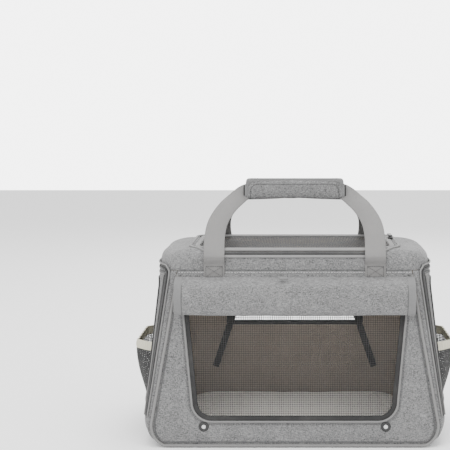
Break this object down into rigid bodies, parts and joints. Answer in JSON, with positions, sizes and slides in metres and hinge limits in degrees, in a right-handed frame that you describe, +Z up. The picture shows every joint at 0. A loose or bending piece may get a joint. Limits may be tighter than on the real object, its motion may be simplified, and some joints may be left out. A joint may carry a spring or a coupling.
{
  "type": "pet carrier bag",
  "caption": "Soft-sided pet carrier in grey fabric with mesh windows, zipped side doors and lid, rolled front flap, webbing handles and side-release buckles.",
  "frame": {"origin": "on the floor under the middle of the bag's bounding box", "axes": "+X along the bag's long side, +Y from the front window to the back, +Z up"},
  "size_m": [0.5016, 0.2995, 0.404],
  "materials": {
    "heather_fabric": "matte",
    "webbing": "matte",
    "light_piping": "matte",
    "dark_net": "matte",
    "black_binding": "matte",
    "cream_elastic": "matte",
    "pad_fleece": "matte",
    "board": "matte",
    "black_plastic": "satin"
  },
  "bodies": {
    "bag": {"back_panel": "heather_fabric", "back_piping": "light_piping", "back_strap_left": "webbing", "back_strap_right": "webbing", "back_window_binding": "black_binding", "back_window_mesh": "dark_net", "base_board": "board", "bottom_panel": "heather_fabric", "buckle_female_left": "black_plastic", "buckle_female_right": "black_plastic", "buckle_tail_left": "webbing", "buckle_tail_right": "webbing", "flap_binding_left": "webbing", "flap_binding_right": "webbing", "flap_roll": "heather_fabric", "flap_toggle": "black_plastic", "floor_pad": "pad_fleece", "front_panel": "heather_fabric", "front_piping": "light_piping", "front_strap_left": "webbing", "front_strap_right": "webbing", "front_window_binding": "black_binding", "front_window_mesh": "dark_net", "gusset_back_left": "heather_fabric", "gusset_back_right": "heather_fabric", "gusset_front_left": "heather_fabric", "gusset_front_right": "heather_fabric", "luggage_sleeve": "heather_fabric", "sleeve_band_lower": "black_binding", "sleeve_band_upper": "black_binding", "snap_left": "black_plastic", "snap_right": "black_plastic", "top_rim": "heather_fabric"},
    "handle_front": {"handle_webbing_front": "webbing", "handle_wrap_front": "heather_fabric"},
    "handle_back": {"handle_webbing_back": "webbing", "handle_wrap_back": "heather_fabric"},
    "lid": {"lid_frame": "heather_fabric", "lid_mesh": "dark_net"},
    "door_left": {"door_frame_left": "heather_fabric", "door_mesh_left": "dark_net", "pocket_left": "dark_net", "pocket_elastic_left": "cream_elastic"},
    "buckle_male_left": {"buckle_male_left": "black_plastic"},
    "prong_inner_left": {"buckle_prong_inner_left": "black_plastic"},
    "prong_outer_left": {"buckle_prong_outer_left": "black_plastic"},
    "door_zip_left_slider": {"door_zip_left_slider": "black_plastic"},
    "door_zip_left_pull": {"door_zip_left_pull": "black_plastic"},
    "door_right": {"door_frame_right": "heather_fabric", "door_mesh_right": "dark_net", "pocket_right": "dark_net", "pocket_elastic_right": "cream_elastic"},
    "buckle_male_right": {"buckle_male_right": "black_plastic"},
    "prong_inner_right": {"buckle_prong_inner_right": "black_plastic"},
    "prong_outer_right": {"buckle_prong_outer_right": "black_plastic"},
    "door_zip_right_slider": {"door_zip_right_slider": "black_plastic"},
    "door_zip_right_pull": {"door_zip_right_pull": "black_plastic"},
    "lid_zip_slider": {"lid_zip_slider": "black_plastic"},
    "lid_zip_pull": {"lid_zip_pull": "black_plastic"}
  },
  "joints": [
    {"name": "handle_front_swing", "type": "hinge", "parent": "bag", "child": "handle_front", "pos_m": [0, -0.116, 0.292], "axis": [1, 0, 0], "range_deg": [0, 190]},
    {"name": "handle_back_swing", "type": "hinge", "parent": "bag", "child": "handle_back", "pos_m": [0, 0.116, 0.292], "axis": [-1, 0, 0], "range_deg": [0, 190]},
    {"name": "lid_open", "type": "hinge", "parent": "bag", "child": "lid", "pos_m": [0, 0.088, 0.3], "axis": [-1, 0, 0], "range_deg": [0, 95]},
    {"name": "door_left_open", "type": "hinge", "parent": "bag", "child": "door_left", "pos_m": [-0.23524, 0, 0.042], "axis": [0, -1, 0], "range_deg": [0, 85]},
    {"name": "buckle_left_release", "type": "slide", "parent": "bag", "child": "buckle_male_left", "axis": [0, -0.0995, 0.995], "range_m": [0, 0.024]},
    {"name": "prong_inner_left_squeeze", "type": "hinge", "parent": "buckle_male_left", "child": "prong_inner_left", "pos_m": [-0.157, 0.14096, 0.07076], "axis": [0, 0.995, 0.0995], "range_deg": [0, 8], "stiffness_Nm_per_rad": 0.05},
    {"name": "prong_outer_left_squeeze", "type": "hinge", "parent": "buckle_male_left", "child": "prong_outer_left", "pos_m": [-0.181, 0.14096, 0.07076], "axis": [0, -0.995, -0.0995], "range_deg": [0, 8], "stiffness_Nm_per_rad": 0.05},
    {"name": "door_zip_left_slide", "type": "slide", "parent": "bag", "child": "door_zip_left_slider", "axis": [-0.1622, 0.0982, -0.9819], "range_m": [0, 0.18]},
    {"name": "door_zip_left_pull_swing", "type": "hinge", "parent": "door_zip_left_slider", "child": "door_zip_left_pull", "pos_m": [-0.1928, 0.11681, 0.25921], "axis": [0.8121, 0.5785, -0.0763], "range_deg": [0, 120]},
    {"name": "door_right_open", "type": "hinge", "parent": "bag", "child": "door_right", "pos_m": [0.23524, 0, 0.042], "axis": [0, 1, 0], "range_deg": [0, 85]},
    {"name": "buckle_right_release", "type": "slide", "parent": "bag", "child": "buckle_male_right", "axis": [0, -0.0995, 0.995], "range_m": [0, 0.024]},
    {"name": "prong_inner_right_squeeze", "type": "hinge", "parent": "buckle_male_right", "child": "prong_inner_right", "pos_m": [0.157, 0.14096, 0.07076], "axis": [0, -0.995, -0.0995], "range_deg": [0, 8], "stiffness_Nm_per_rad": 0.05},
    {"name": "prong_outer_right_squeeze", "type": "hinge", "parent": "buckle_male_right", "child": "prong_outer_right", "pos_m": [0.181, 0.14096, 0.07076], "axis": [0, 0.995, 0.0995], "range_deg": [0, 8], "stiffness_Nm_per_rad": 0.05},
    {"name": "door_zip_right_slide", "type": "slide", "parent": "bag", "child": "door_zip_right_slider", "axis": [0.1622, 0.0982, -0.9819], "range_m": [0, 0.18]},
    {"name": "door_zip_right_pull_swing", "type": "hinge", "parent": "door_zip_right_slider", "child": "door_zip_right_pull", "pos_m": [0.1928, 0.11681, 0.25921], "axis": [0.8121, -0.5785, 0.0763], "range_deg": [0, 120]},
    {"name": "lid_zip_slide", "type": "slide", "parent": "bag", "child": "lid_zip_slider", "axis": [0, -1, 0], "range_m": [0, 0.06]},
    {"name": "lid_zip_pull_swing", "type": "hinge", "parent": "lid_zip_slider", "child": "lid_zip_pull", "pos_m": [0.156, 0.03, 0.3065], "axis": [1, 0, 0], "range_deg": [0, 120]}
  ],
  "couplings": [
    {"joint": "handle_back_swing", "follows": "handle_front_swing", "ratio": 1},
    {"joint": "lid_open", "follows": "handle_front_swing", "ratio": 0.5},
    {"joint": "prong_outer_left_squeeze", "follows": "prong_inner_left_squeeze", "ratio": 1},
    {"joint": "prong_outer_right_squeeze", "follows": "prong_inner_right_squeeze", "ratio": 1}
  ]
}
